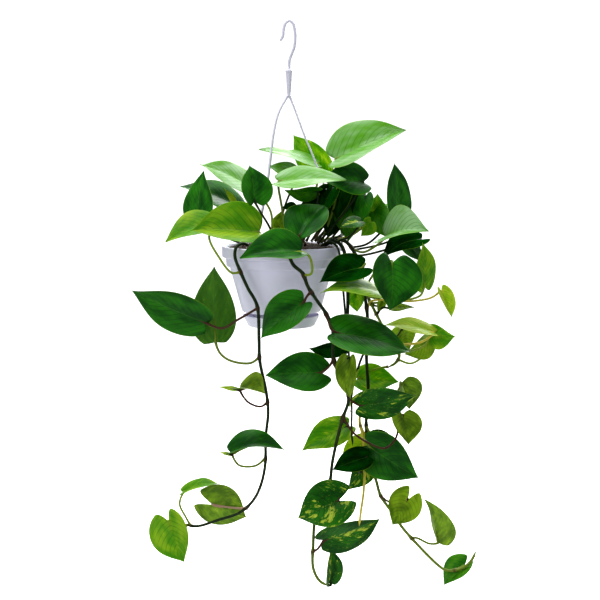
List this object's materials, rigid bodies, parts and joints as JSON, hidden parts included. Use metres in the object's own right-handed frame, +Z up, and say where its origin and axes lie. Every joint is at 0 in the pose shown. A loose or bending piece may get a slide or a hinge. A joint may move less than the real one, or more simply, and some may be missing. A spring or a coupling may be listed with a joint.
{
  "type": "hanging potted pothos plant",
  "caption": "Golden pothos in a round hanging plastic pot with clip-on saucer and one-piece strand hanger; heart-shaped leaves on long trailing vines.",
  "frame": {"origin": "the point at the top of the hook's inside, where the hook bears on what it hangs from", "axes": "+Z up along the hang line, -Y towards the front, +X to the right seen from the front"},
  "size_m": [0.5454, 0.263, 0.9014],
  "materials": {
    "pot_plastic": "pale lavender grey moulded plastic, satin",
    "hanger_plastic": "white moulded plastic, satin",
    "potting_soil": "dark peat soil, rough, with bark and white grains",
    "stem_olive": "olive green stem, satin, with brown nodes",
    "leaf_green": "waxy green leaf with yellow-green variegation, satin to glossy"
  },
  "bodies": {
    "root": {"hanger": "hanger_plastic", "pot": "pot_plastic", "saucer": "pot_plastic", "soil": "potting_soil", "vine_front": "stem_olive", "vine_left": "stem_olive", "vine_long": "stem_olive", "vine_right": "stem_olive", "vine_short": "stem_olive", "vine_thin": "stem_olive", "vine_yellow": "stem_olive", "leaf_crown_1": "leaf_green", "leaf_crown_2": "leaf_green", "leaf_crown_3": "leaf_green", "leaf_crown_4": "leaf_green", "leaf_crown_5": "leaf_green", "leaf_crown_6": "leaf_green", "leaf_crown_7": "leaf_green", "leaf_crown_8": "leaf_green", "leaf_crown_9": "leaf_green", "leaf_crown_10": "leaf_green", "leaf_crown_11": "leaf_green", "leaf_crown_12": "leaf_green", "leaf_crown_13": "leaf_green", "leaf_crown_14": "leaf_green", "leaf_crown_15": "leaf_green", "leaf_front_1": "leaf_green", "leaf_front_2": "leaf_green", "leaf_front_3": "leaf_green", "leaf_front_4": "leaf_green", "leaf_front_5": "leaf_green", "leaf_front_6": "leaf_green", "leaf_front_7": "leaf_green", "leaf_front_8": "leaf_green", "leaf_front_9": "leaf_green", "leaf_left_1": "leaf_green", "leaf_left_2": "leaf_green", "leaf_left_3": "leaf_green", "leaf_left_4": "leaf_green", "leaf_left_5": "leaf_green", "leaf_left_6": "leaf_green", "leaf_left_7": "leaf_green", "leaf_long_1": "leaf_green", "leaf_long_2": "leaf_green", "leaf_long_3": "leaf_green", "leaf_long_4": "leaf_green", "leaf_long_5": "leaf_green", "leaf_long_6": "leaf_green", "leaf_right_1": "leaf_green", "leaf_right_2": "leaf_green", "leaf_right_3": "leaf_green", "leaf_right_4": "leaf_green", "leaf_right_5": "leaf_green", "leaf_right_6": "leaf_green", "leaf_right_7": "leaf_green", "leaf_right_8": "leaf_green", "leaf_rim_1": "leaf_green", "leaf_rim_2": "leaf_green", "leaf_rim_3": "leaf_green", "leaf_rim_4": "leaf_green"}
  },
  "joints": []
}
